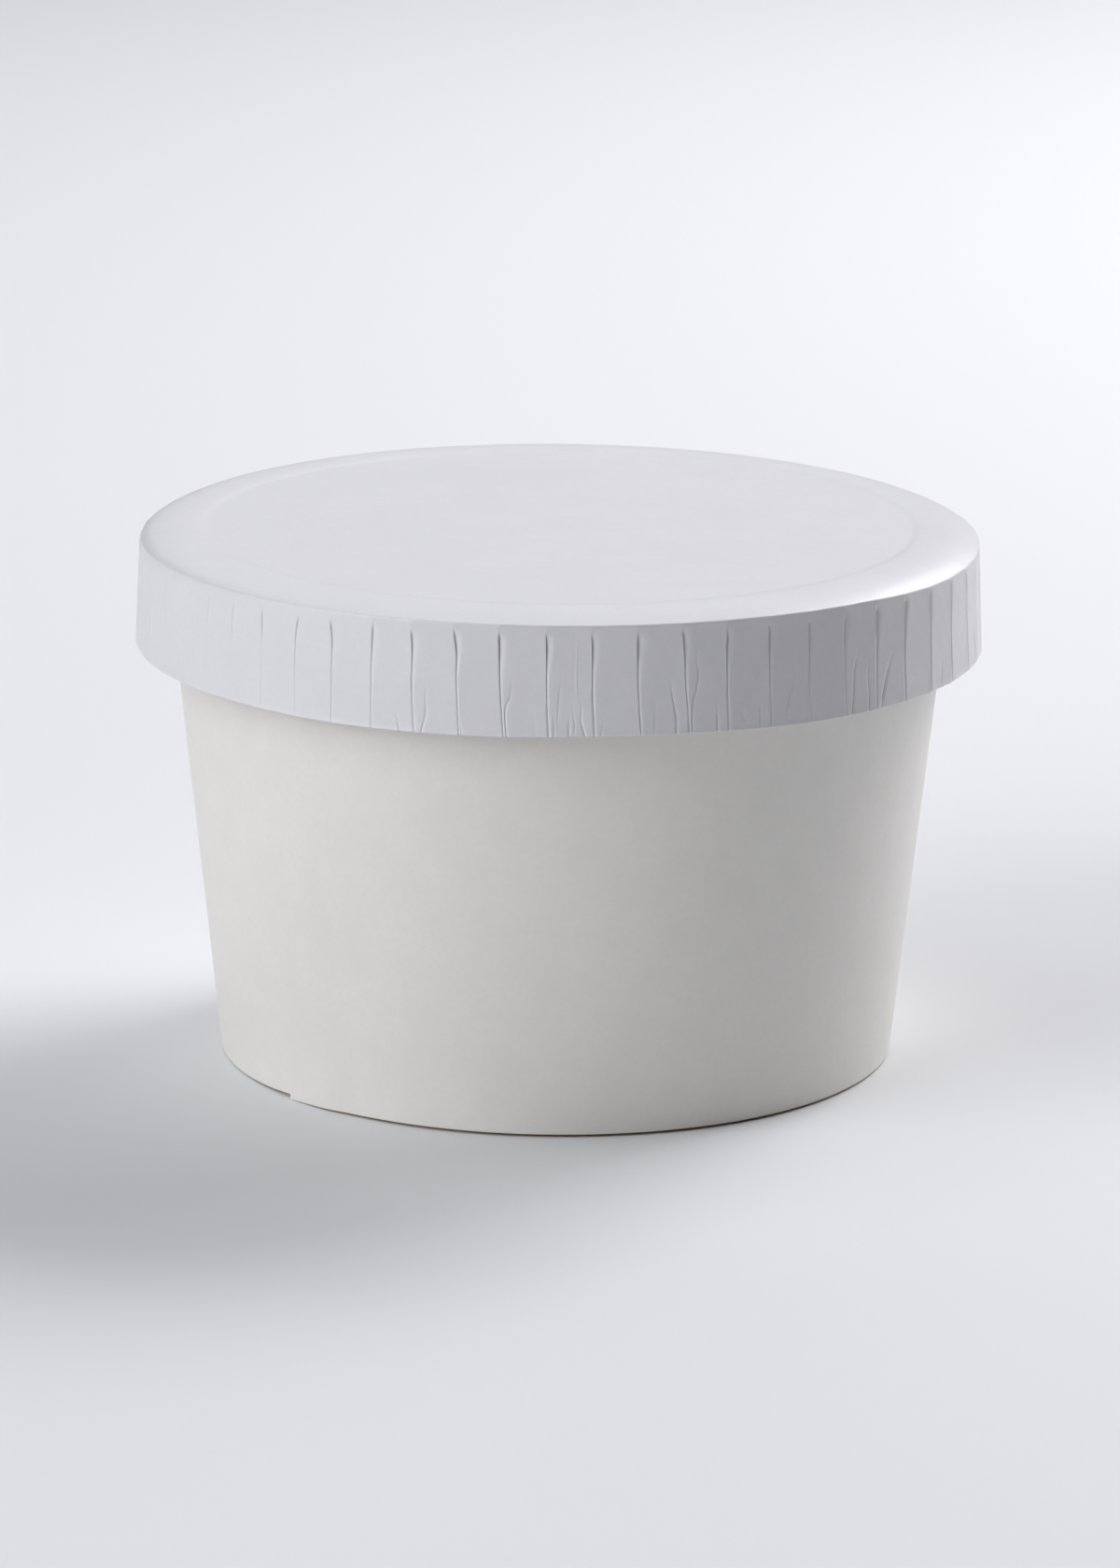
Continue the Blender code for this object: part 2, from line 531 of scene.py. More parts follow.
@dataclass(frozen=True)
class Fold:
    """A line along which the skirt's paper is folded in.

    One side of it is steep, and on the other side, the one with the greater angle, the paper
    eases back out.

    Attributes:
        course: Points of (height, angle) that its floor passes through.
        depths: Points of (height, depth).
        slopes: Points of (height, width of the easy side).
        steep: Width of the steep side.
        lip: How far the paper stands proud beside it, as a share of its depth.
        hollow: How hollow its easy side is: 1 is straight.
        crack: Least depth that gets painted shade.
        crack_range: How much deeper the painted shade is darkest.
    """

    course: tuple[Point, ...]
    depths: tuple[Point, ...]
    slopes: tuple[Point, ...]
    steep: float
    lip: float = 0.10
    hollow: float = 1.4
    crack: float = 0.10 * MM
    crack_range: float = 0.25 * MM

    def angle(self, height: Array | float) -> Array:
        """Angle of the fold's floor at a height."""
        return smooth_curve(self.course, height)

    def depth(self, height: Array | float) -> Array:
        """Depth of the fold at a height."""
        return np.interp(height, *np.array(sorted(self.depths)).T)

    def dip(self, across: Array, height: float) -> Array:
        """How far the paper dips in.

        Args:
            across: Distances from the fold's floor, round the skirt.
            height: Height of the row.

        Returns:
            The dips, below zero where the paper stands proud as the fold's lip.
        """
        slope = float(smooth_curve(self.slopes, height))
        steep_side = ease(1 + across / self.steep)
        easy_side = np.clip(1 - across / slope, 0.0, 1.0) ** self.hollow
        lip = self.lip * np.exp(-(((across + 1.8 * self.steep) / (1.2 * self.steep)) ** 2))
        return self.depth(height) * (np.where(across < 0, steep_side, easy_side) - lip)

    def shadow(self, across: Array, height: float) -> Array:
        """Painted shade along the fold's narrow crack: how deep in it a point lies, from 0 to 1."""
        line = np.exp(-(((across + 0.4 * self.steep) / (0.5 * self.steep)) ** 2))
        return line * np.clip((self.depth(height) - self.crack) / self.crack_range, 0.0, 1.0)


@dataclass(frozen=True)
class PleatMaker:
    """Makes pleats: deep under the shoulder, and almost closed lower down.

    Attributes:
        edge: Height of the skirt's cut edge.
        depth: Greatest depth.
        setback: How far under its head a pleat's groove starts.
        steep: Width of a pleat's steep side.
    """

    edge: float
    depth: float = 0.27 * MM
    setback: float = 0.2 * MM
    steep: float = 0.12 * MM

    def pleat(self, head: float, angles: Sequence[float], strength: float) -> Fold:
        """Make one pleat.

        Args:
            head: Height where it starts.
            angles: Its angle at its head, its neck, its waist and the cut edge.
            strength: Its depth, as a share of the greatest.

        Returns:
            The pleat's fold.
        """
        head -= self.setback
        drop = head - self.edge
        shares = ((0.0, 0.0), (0.06, 1.0), (0.17, 0.95), (0.33, 0.6), (0.7, 0.45), (1.0, 0.4))
        widths = ((0.0, 1.0), (0.15, 0.9), (0.35, 0.4), (1.0, 0.25))
        leans = (0.30, 0.18, 0.12, 0.12)
        places = zip((0.0, 0.15, 0.5, 1.0), angles, leans)
        return Fold(
            course=tuple((head - t * drop, angle + lean) for t, angle, lean in places),
            depths=tuple((head - t * drop, s * strength * self.depth) for t, s in shares),
            slopes=tuple((head - t * drop, w * MM) for t, w in widths),
            steep=self.steep,
        )


def crease(
    trace: Sequence[Point], depth: float, slope: float, steep: float = 0.16, open_end: bool = True
) -> Fold:
    """Make a crease that fades in from its upper end.

    Args:
        trace: Points of (height in mm, angle), from its upper end down.
        depth: Its depth in mm.
        slope: Width in mm of its easy side.
        steep: Width in mm of its steep side.
        open_end: Whether it runs out through the cut edge at full depth.

    Returns:
        The crease's fold.
    """
    pressed_depth, top_width, bottom_width, pressed_steep = 0.65, 0.7, 0.5, 0.8
    top, bottom = trace[0][0], trace[-1][0]
    length = top - bottom
    last = 1.0 if open_end else 0.0
    shares = ((top, 0.0), (top - 0.45 * length, 0.8), (bottom + 0.15 * length, 1.0), (bottom, last))
    return Fold(
        course=tuple((height * MM, angle) for height, angle in trace),
        depths=tuple((height * MM, pressed_depth * share * depth * MM) for height, share in shares),
        slopes=((top * MM, top_width * slope * MM), (bottom * MM, bottom_width * slope * MM)),
        steep=pressed_steep * steep * MM,
    )


# Pleats on the front of the skirt: height of the head in mm, angle at the head, neck, waist and
# cut edge, and strength
FRONT_PLEATS = (
    (72.2, 186.0, 185.9, 186.0, 186.2, 0.4),
    (72.3, 192.3, 192.1, 192.2, 192.1, 0.35),
    (72.1, 198.2, 198.3, 198.1, 198.3, 0.3),
    (72.2, 204.2, 204.1, 204.3, 204.3, 0.3),
    (72.1, 210.2, 210.3, 210.4, 210.5, 0.3),
    (72.1, 216.3, 216.1, 216.0, 216.2, 0.35),
    (72.0, 221.7, 221.5, 221.7, 221.9, 0.4),
    (72.2, 227.1, 227.3, 227.4, 227.6, 0.5),
    (72.2, 233.5, 233.3, 233.3, 233.5, 0.55),
    (72.4, 238.5, 239.0, 239.1, 239.2, 0.65),
    (72.6, 244.9, 245.0, 245.0, 245.1, 0.65),
    (72.3, 250.3, 250.6, 250.7, 251.1, 0.8),
    (72.8, 256.0, 256.5, 256.7, 257.1, 0.85),
    (72.7, 262.0, 262.2, 262.4, 262.9, 1.0),
    (72.6, 268.1, 268.3, 268.4, 268.7, 1.0),
    (72.6, 274.0, 274.2, 274.3, 274.6, 1.0),
    (72.6, 280.0, 280.1, 280.2, 280.6, 1.0),
    (72.8, 285.9, 286.2, 286.5, 287.0, 1.0),
    (72.6, 292.1, 292.1, 292.2, 292.4, 1.0),
    (72.6, 298.1, 298.2, 298.4, 298.6, 0.9),
    (72.7, 304.2, 304.4, 304.4, 304.6, 0.8),
    (72.7, 310.4, 310.3, 310.4, 310.6, 0.7),
    (72.8, 316.4, 316.4, 316.4, 316.3, 0.8),
    (72.8, 322.5, 322.4, 322.3, 322.4, 1.0),
    (72.7, 328.5, 328.7, 328.8, 328.8, 1.0),
    (72.6, 335.0, 335.2, 335.2, 335.4, 1.0),
    (72.5, 341.4, 341.8, 341.9, 342.4, 1.0),
    (72.6, 347.6, 347.9, 348.0, 348.2, 0.6),
    (72.5, 353.8, 353.9, 354.1, 354.0, 0.5),
)

# Creases on the front of the skirt, from left to right
FRONT_CREASES = (
    crease(((60.9, 248.6), (59.8, 248.9), (58.5, 249.2)), 0.10, 0.5),
    crease(
        ((65.5, 252.6), (63.0, 252.7), (60.5, 252.7), (59.5, 252.4), (58.5, 252.2)),
        0.12, 0.35,
    ),
    crease(((60.4, 257.3), (58.5, 257.6)), 0.10, 0.3),
    crease(
        ((66.6, 264.2), (64.8, 263.9), (63.6, 263.8),
         (62.6, 263.3), (61.0, 263.2), (58.5, 263.4)),
        0.15, 0.45,
    ),
    crease(((61.5, 266.8), (58.5, 267.1)), 0.04, 0.4),
    crease(((61.3, 269.4), (60.0, 269.5), (58.5, 269.5)), 0.10, 0.3),
    crease(
        ((66.2, 270.4), (64.0, 270.1), (61.5, 270.0), (60.3, 269.9)),
        0.08, 0.5, open_end=False,
    ),
    crease(((61.4, 271.5), (60.0, 271.4), (58.5, 271.5)), 0.12, 0.35),
    crease(
        ((73.2, 272.4), (70.0, 272.35), (66.5, 272.3), (64.0, 272.4)),
        -0.05, 0.3, open_end=False,
    ),
    crease(
        ((62.4, 271.9), (61.0, 272.0), (60.0, 272.2), (58.8, 272.0)),
        0.10, 0.3, open_end=False,
    ),
    crease(
        ((63.5, 272.9), (62.0, 273.0), (61.0, 272.9), (59.6, 273.2), (58.5, 273.5)),
        0.13, 0.3,
    ),
    crease(((60.3, 275.9), (59.4, 275.7), (58.5, 275.5)), 0.06, 0.3),
    crease(((63.0, 282.6), (58.5, 282.5)), 0.06, 0.6, steep=0.3),
    crease(
        ((66.0, 284.6), (63.5, 284.9), (62.0, 285.2), (60.5, 285.4), (58.5, 285.4)),
        0.16, 0.45,
    ),
    crease(
        ((70.4, 288.3), (68.5, 288.1), (66.5, 288.4),
         (64.6, 288.1), (62.5, 287.6), (58.5, 287.5)),
        0.15, 0.5,
    ),
    crease(((62.0, 290.9), (58.5, 291.0)), 0.14, 0.45),
    crease(((61.4, 294.4), (60.0, 294.8), (58.8, 295.6)), 0.05, 1.2, steep=0.6, open_end=False),
    crease(((61.5, 297.1), (58.7, 297.0)), 0.12, 0.4, open_end=False),
    crease(
        ((66.8, 302.4), (64.0, 302.0), (62.5, 301.5), (61.0, 301.1), (59.6, 300.8)),
        0.16, 0.6, open_end=False,
    ),
    crease(((60.6, 305.4), (59.6, 305.6), (58.5, 305.4)), 0.07, 0.4),
    crease(
        ((67.2, 313.1), (66.0, 312.7), (64.5, 312.2),
         (62.5, 312.1), (60.0, 311.9), (58.5, 311.7)),
        0.17, 0.6, steep=0.25,
    ),
    crease(((65.2, 314.9), (63.0, 314.7), (61.5, 314.9), (58.5, 314.9)), 0.14, 0.5, steep=0.22),
    crease(
        ((65.6, 319.9), (64.5, 319.2), (63.0, 318.6),
         (61.5, 318.1), (60.0, 317.6), (59.0, 317.3)),
        0.24, 0.8, steep=0.35, open_end=False,
    ),
    crease(((61.9, 332.3), (60.5, 332.2), (58.9, 332.0)), 0.14, 0.6, steep=0.2, open_end=False),
    crease(((60.0, 330.5), (58.5, 330.8)), 0.06, 0.4),
    crease(
        ((64.0, 345.6), (62.0, 346.4), (60.2, 347.1), (59.0, 347.0)),
        0.22, 0.8, steep=0.3, open_end=False,
    ),
)


# The cut edge: points of (angle, height above its mean in mm)
EDGE_COURSE = (
    (0.0, -0.15), (35.0, 0.10), (80.0, -0.08), (120.0, 0.12), (165.0, -0.05), (192.0, 0.05),
    (206.0, 0.02), (225.0, 0.0), (240.0, -0.1), (262.0, 0.05), (276.0, 0.28), (284.0, 0.20),
    (292.0, 0.05), (300.0, -0.08), (312.0, -0.22), (335.0, -0.22), (360.0, -0.15),
)


# How light the cut edge is painted, as frayed fibres and as a painted highlight on the side that
# light catches: points of (angle, share)
FRAY_AND_HIGHLIGHT = (
    (0.0, 0.6), (60.0, 0.3), (150.0, 0.2), (220.0, 0.0), (258.0, 0.0), (270.0, 0.3), (286.0, 0.8),
    (305.0, 1.0), (330.0, 1.0), (360.0, 0.6),
)


# How far the bend between shoulder and skirt rises above its place at the back, in mm by angle
BEND_COURSE = (
    (0, 0.0), (170, 0.1), (190, 0.35), (205, 0.5), (240, 0.48), (270, 0.52), (290, 0.5),
    (298, 0.49), (304, 0.44), (310, 0.4), (316, 0.33), (319, 0.2), (325, 0.0), (332, -0.16),
    (342, -0.16), (352, -0.05), (360, 0.0),
)

# How suddenly the slope above the bend steepens, by angle: 1 is a straight slope
SLOPE_COURSE = (
    (0, 3.0), (165, 2.9), (200, 1.6), (265, 1.5), (280, 1.8), (292, 2.3), (304, 2.7), (316, 2.9),
    (330, 3.1), (345, 3.3), (360, 3.0),
)

# How much the bend is rounded over, in mm by angle
BEND_WEAR = ((0, 0.0), (150, 0.05), (180, 0.25), (215, 0.2), (235, 0.08), (250, 0.0), (360, 0.0))


# ---------------------------------------------------------------------------------------------
# Pressed lid


@dataclass
class PressedLid:
    """The pressed paper lid: a flat disc, a low crown, a rounded shoulder and a pleated skirt.

    Attributes:
        top: Height of the crown.
        edge: Height of the skirt's cut edge.
        edge_radius: Outer radius of the skirt at its cut edge.
        paper: Thickness of the sheet.
        disc_radius: Radius of the flat disc.
        disc_drop: How far the disc lies under the crown.
        ramp: Width of the slope from the disc up to the crown.
        crown_radius: Radius of the crown's highest ring.
        shoulder_radius: Outer radius where the shoulder meets the skirt.
        shoulder_drop: Height of the shoulder.
        corner: Radius of the tight bend where the shoulder turns down into the skirt.
        corner_turn: Angle that this bend turns through.
        stretch: Height of the skirt's head that rises and falls with the bend.
        softness: How far from the bend the paper rounds over where it is worn soft.
        relief_rise: How far above the skirt the pleats and flat panels fade out.
        pleats: Number of pleats.
        seed: Seed of the hidden sides' small differences.
        pleat_folds: The pleats, filled in by gather_folds.
        folds: All pleats and creases in order round the skirt, filled in by build.
        counts: Columns between each fold and the next, filled in by build.
    """

    top: float
    edge: float
    edge_radius: float
    paper: float = 0.45 * MM
    disc_radius: float = 49.0 * MM
    disc_drop: float = 0.26 * MM
    ramp: float = 1.0 * MM
    crown_radius: float = 50.8 * MM
    shoulder_radius: float = 58.35 * MM
    shoulder_drop: float = 1.95 * MM
    corner: float = 0.4 * MM
    corner_turn: float = 57.0
    stretch: float = 1.6 * MM
    softness: float = 0.8 * MM
    relief_rise: float = 1.7 * MM
    pleats: int = 60
    seed: int = 7
    pleat_folds: list[Fold] = field(default_factory=list)
    folds: list[Fold] = field(default_factory=list)
    counts: list[int] = field(default_factory=list)

    @classmethod
    def in_box(cls, box: tuple[Vector, Vector]) -> "PressedLid":
        """Fit a lid to the box of its node.

        Args:
            box: Lowest and highest corners of the node.

        Returns:
            The lid.
        """
        low, high = box
        margin = 0.06 * MM
        return cls(top=high.z, edge=low.z, edge_radius=(high.x - low.x) / 2 - margin)

    def skirt_top(self) -> float:
        """Height where the shoulder meets the skirt."""
        return self.top - self.shoulder_drop

    def skirt_radius(self, height: Array | float) -> Array:
        """Outer radius of the skirt at a height."""
        share = (self.skirt_top() - height) / (self.skirt_top() - self.edge)
        return self.shoulder_radius + (self.edge_radius - self.shoulder_radius) * share

    def top_outline(self) -> list[Point]:
        """Draw the outer face from the middle of the disc up to the crown.

        Returns:
            Points of (radius, height).
        """
        disc = self.top - self.disc_drop
        points = [(0.0, disc), (0.6 * self.disc_radius, disc), (self.disc_radius - 0.6 * MM, disc)]
        points.append((self.disc_radius - 0.1 * MM, disc - 0.01 * MM))
        for t in steps(0.0, 1.0, 5)[1:]:
            rise = 0.8 * self.disc_drop * (0.5 * t + 0.5 * float(ease(t)))
            points.append((self.disc_radius + self.ramp * t, disc + rise))
        return points

    def bend(self) -> tuple[float, float, float]:
        """Work out where the crown's slope meets the tight bend.

        Returns:
            Radius and height of that place, and the power of the slope's curve.
        """
        turn = math.radians(self.corner_turn)
        radius = self.shoulder_radius - self.corner * (1 - math.cos(turn))
        height = self.skirt_top() + self.corner * math.sin(turn)
        return radius, height, (radius - self.crown_radius) / (self.top - height) / math.tan(turn)

    def shoulder_outline(self) -> list[Point]:
        """Draw the crown's long slope and the tight corner between it and the skirt.

        Returns:
            Points of (radius, height).
        """
        turn = math.radians(self.corner_turn)
        bend_radius, bend_height, power = self.bend()
        reach, drop = bend_radius - self.crown_radius, self.top - bend_height
        points = []
        for t in steps(0.0, 1.0, 10):
            out = math.sin(t * math.pi / 2)
            points.append((self.crown_radius + reach * out, self.top - drop * out**power))
        for angle in steps(turn, 0.0, 7)[1:]:
            radius = self.shoulder_radius - self.corner * (1 - math.cos(angle))
            points.append((radius, self.skirt_top() + self.corner * math.sin(angle)))
        return points

    def skirt_outline(self) -> list[Point]:
        """Draw the skirt's outer face, with close rows where the pleats start.

        Returns:
            Points of (radius, height).
        """
        head, fray = self.skirt_top() - 2.4 * MM, self.edge + 0.2 * MM
        heights = steps(self.skirt_top(), head, 9)[1:] + steps(head, fray, 17)[1:]
        points = [(float(self.skirt_radius(height)), height) for height in heights]
        points.append((self.edge_radius + 0.03 * MM, self.edge + 0.08 * MM))
        points.append((self.edge_radius + 0.02 * MM, self.edge))
        return points

    def inner_outline(self) -> list[Point]:
        """Draw the sheet's inner face, from the cut edge back to the middle of the disc.

        Returns:
            Points of (radius, height).
        """
        inner_top = self.top - self.disc_drop - self.paper
        points = []
        for height in steps(self.edge, self.skirt_top(), 6):
            points.append((float(self.skirt_radius(height)) - self.paper, height))
        radius, height = points[-1]
        for inward, rise in ((0.1, 0.2), (0.42, 0.4), (0.95, 0.68), (2.4, 1.25), (5.2, 1.7)):
            points.append((radius - inward * MM, height + rise * MM))
        points.append((self.disc_radius, inner_top))
        points.append((0.0, inner_top))
        return points

    def outline(self) -> list[Point]:
        """The sheet's whole section, from the middle of its top to the middle of its underside."""
        outer = self.top_outline() + self.shoulder_outline() + self.skirt_outline()
        return outer + self.inner_outline()

    def gather_folds(self) -> list[Fold]:
        """Gather the pleats and creases of the front, and make those of the hidden sides.

        Returns:
            All pleats and creases, in order round the skirt.
        """
        chance = random.Random(self.seed)
        maker = PleatMaker(edge=self.edge)
        pleats = [maker.pleat(head * MM, angles, part) for head, *angles, part in FRONT_PLEATS]
        creases = list(FRONT_CREASES)
        first, last = FRONT_PLEATS[0][3] + 360.0, FRONT_PLEATS[-1][3]
        gaps = self.pleats - len(pleats) + 1
        for number in range(1, gaps):
            waist = last + (first - last) * number / gaps + chance.uniform(-0.3, 0.3)
            lean = chance.uniform(-0.3, 0.3)
            angles = (waist - lean, waist - 0.4 * lean, waist, waist + 0.8 * lean)
            head = self.skirt_top() + chance.uniform(0.0, 0.4) * MM
            pleats.append(maker.pleat(head, angles, chance.uniform(0.75, 1.0)))
            if chance.random() < 0.62:
                creases.append(self.chance_crease(waist + chance.uniform(1.6, 4.4), chance))
        self.pleat_folds = pleats
        return sorted(pleats + creases, key=lambda fold: float(fold.angle(self.edge)))

    def chance_crease(self, angle: float, chance: random.Random) -> Fold:
        """Make a small crease on a hidden side, in the lower part of the skirt.

        Args:
            angle: Its angle at the cut edge.
            chance: Source of its small differences.

        Returns:
            The crease's fold.
        """
        foot = self.edge / MM
        height = chance.choice((2.5, 3.5, 5.5, 8.0))
        lean = chance.uniform(-0.8, 0.8) * height / 8.0
        trace = (
            (foot + height, angle + lean),
            (foot + 0.55 * height, angle + 0.4 * lean + chance.uniform(-0.1, 0.1)),
            (foot, angle),
        )
        return crease(trace, chance.uniform(0.07, 0.17), chance.uniform(0.3, 0.6))

    def count_columns(self) -> list[int]:
        """Share out the columns, in a number that divides into whole sectors.

        Returns:
            How many columns lie between each fold and the next.
        """
        middle = 0.55 * self.edge + 0.45 * self.skirt_top()
        angles = [float(fold.angle(middle)) for fold in self.folds]
        counts = []
        for here, there in zip(angles, angles[1:] + angles[:1]):
            gap = math.radians((there - here) % 360.0) * self.edge_radius
            counts.append(max(7, round(4 + 2.65 * gap / MM)))
        for number in range(-sum(counts) % SECTORS):
            counts[number] += 1
        return counts

    def column_angles(self, height: float) -> Array:
        """Angles of all columns at one height, crowded along the folds.

        Args:
            height: Height of the row.

        Returns:
            One angle for each column.
        """
        crowding = 0.93
        fold_angles = [float(fold.angle(height)) for fold in self.folds]
        angles = []
        for start, end, count in zip(fold_angles, fold_angles[1:] + fold_angles[:1], self.counts):
            t = np.arange(count) / count
            share = t - crowding * np.sin(2 * math.pi * t) / (2 * math.pi)
            angles.append(start + ((end - start) % 360.0) * share)
        return np.concatenate(angles)

    def panel_sag(self, angle: Array, height: float) -> Array:
        """Work out how far the panels lie inside the round, because they are flat.

        Args:
            angle: Angles to work it out at.
            height: Height of the row.

        Returns:
            One depth for each angle.
        """
        pleat_angles = np.array([float(f.angle(height)) for f in self.pleat_folds]) % 360.0
        pleat_angles.sort()
        ring = np.concatenate((pleat_angles[-1:] - 360.0, pleat_angles, pleat_angles[:1] + 360.0))
        place = np.searchsorted(ring, angle % 360.0) - 1
        start, end = ring[place], ring[place + 1]
        before, after = np.radians(angle % 360.0 - start), np.radians(end - angle % 360.0)
        return self.edge_radius * before * after / 2

    def press_waves(self, angle: Array, height: float) -> Array:
        """Work out the very shallow waves that the press leaves in the skirt.

        Args:
            angle: Angles to work them out at.
            height: Height of the row.

        Returns:
            One depth for each angle.
        """
        turn = np.radians(angle)
        waves = (
            0.006 * np.sin(23 * turn + height * 310)
            + 0.005 * np.sin(57 * turn - height * 690 + 1.3)
            + 0.004 * np.sin(131 * turn + height * 1240 + 0.4)
        )
        return waves * MM

    def edge_lift(self, angle: Array) -> Array:
        """Work out the cut edge's long waves and small nicks.

        Args:
            angle: Angles to work them out at.

        Returns:
            The edge's rise above its mean height, for each angle.
        """
        turn = np.radians(angle)
        lift = smooth_curve(EDGE_COURSE, angle % 360.0)
        lift += 0.02 * np.sin(171 * turn) + 0.015 * np.sin(333 * turn + 1.0)
        for fold in self.folds:
            past = turn_between(angle, float(fold.angle(self.edge)))
            across = np.radians(past) * self.edge_radius
            nick = 0.9 * fold.depth(self.edge) / MM
            lift += nick * np.exp(-((across / (0.18 * MM)) ** 2))
        return lift * MM

    def bend_share(self, height: Array | float) -> Array:
        """How much of the bend's rise and fall reaches down to a height, from 0 to 1."""
        return ease((height - self.skirt_top() + self.stretch) / self.stretch)

    def shape_bend(self, radius: Array, height: Array, angle: Array) -> tuple[Array, Array]:
        """Let the bend rise, fall and round over as it goes round the lid.

        Args:
            radius: Radius of each point.
            height: Height of each point.
            angle: Angle of each point.

        Returns:
            The points' new radii and heights.
        """
        bend_radius, bend_height, power = self.bend()
        drop = self.top - bend_height
        reach = np.clip((radius - self.crown_radius) / (bend_radius - self.crown_radius), 0.0, 1.0)
        rise = smooth_curve(BEND_COURSE, angle % 360.0) * MM
        new_drop = (drop - rise) * reach ** smooth_curve(SLOPE_COURSE, angle % 360.0)
        lift = (drop * reach**power - new_drop) * self.bend_share(height)
        away = np.hypot(radius - self.shoulder_radius, height - bend_height) / self.softness
        wear = smooth_curve(BEND_WEAR, angle % 360.0) * MM * np.exp(-(away**2))
        return radius - 0.7 * wear, height + lift - 0.7 * wear

    def row_relief(self, level: float, angles: Array) -> tuple[Array, Array]:
        """Work out the relief of one row.

        Args:
            level: Height of the row.
            angles: Angles of its columns.

        Returns:
            For each column, how far it sinks in, and how much painted shade it gets in a crack,
            from 0 to 1.
        """
        below = self.skirt_top() + self.relief_rise - level
        sink = self.panel_sag(angles, level) * float(ease(below / (1.5 * MM)))
        sink += self.press_waves(angles, level) * float(ease(below / (2.5 * MM)))
        shadow = np.zeros(len(angles))
        share = float(self.bend_share(level)) * MM
        for fold in self.folds:
            middle = float(fold.angle(level))
            lifted = level + share * float(smooth_curve(BEND_COURSE, middle % 360.0))
            if abs(float(fold.depth(lifted))) < 1e-7:
                continue
            across = np.radians(turn_between(angles, middle)) * self.edge_radius
            near = np.abs(across) < 3 * MM
            sink[near] += fold.dip(across[near], lifted)
            shadow[near] = np.maximum(shadow[near], fold.shadow(across[near], lifted))
        return sink, shadow

    def press(self, lid: bpy.types.Object) -> None:
        """Press the pleats and creases into the spun sheet, and trim its cut edge.

        Args:
            lid: The spun sheet.
        """
        radius, height, column = spun_places(lid, sum(self.counts))
        angle, sink, shadow = np.zeros((3, len(radius)))
        for level in np.unique(np.round(height, 7)):
            row = np.abs(height - level) < 2e-7
            angles = self.column_angles(level)
            angle[row] = angles[column[row]]
            if level <= self.skirt_top() + self.relief_rise:
                row_sink, row_shadow = self.row_relief(level, angles)
                sink[row] = row_sink[column[row]]
                shadow[row] = row_shadow[column[row]]
        trim_top = self.skirt_top() - 5 * MM
        trim = ease((trim_top - height) / (trim_top - self.edge)) * self.edge_lift(angle)
        angle[radius < ON_AXIS] = 0.0
        outside = radius > self.skirt_radius(height) - 0.5 * self.paper
        bent_radius, bent_height = self.shape_bend(radius, height, angle)
        move_vertices(lid, bent_radius - sink, angle, bent_height + trim)
        # Painted shade in the folds' cracks, on the outer skin only
        keep_attribute(lid, "fold", np.where(outside, shadow, 0.0))
        # The cut edge's bottom row: frayed fibres and a painted highlight, weighted by angle
        fray_and_highlight_row = outside & (height < self.edge + 0.1 * MM)
        keep_attribute(lid, "edge", np.where(fray_and_highlight_row, smooth_curve(FRAY_AND_HIGHLIGHT, angle % 360.0), 0.0))

    def finish_edge(self, lid: bpy.types.Object) -> None:
        """Give the ring of faces between the two skins its own cut-edge finish.

        Args:
            lid: The pressed lid.
        """
        for face in lid.data.polygons:
            if face.normal.z < -0.8 and face.center.z < self.edge + 1.5 * MM:
                face.material_index = 1

    def build(self) -> bpy.types.Object:
        """Build the lid and dress it.

        Returns:
            The lid.
        """
        self.folds = self.gather_folds()
        self.counts = self.count_columns()
        lid = Bench.turn("pressed_lid", self.outline(), sum(self.counts))
        self.press(lid)
        Bench.shade(lid, 48.0)
        lid.data.materials.append(LID_PAPER.material())
        lid.data.materials.append(LID_EDGE.material())
        self.finish_edge(lid)
        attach(lid, "root")
        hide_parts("lid")
        return lid


# ---------------------------------------------------------------------------------------------
# Lapped tub


# The gap under the foot's outer corner: points of (angle past the seam, height in mm)
FOOT_GAP = (
    (0.0, 0.0), (4.0, 0.12), (8.0, 0.20), (15.0, 0.28), (25.0, 0.36), (40.0, 0.38), (65.0, 0.36),
    (80.0, 0.33), (95.0, 0.29), (110.0, 0.25), (122.0, 0.17), (140.0, 0.12), (200.0, 0.15),
    (260.0, 0.10), (320.0, 0.06), (335.0, 0.08), (347.0, 0.17), (354.0, 0.32), (360.0, 0.55),
)


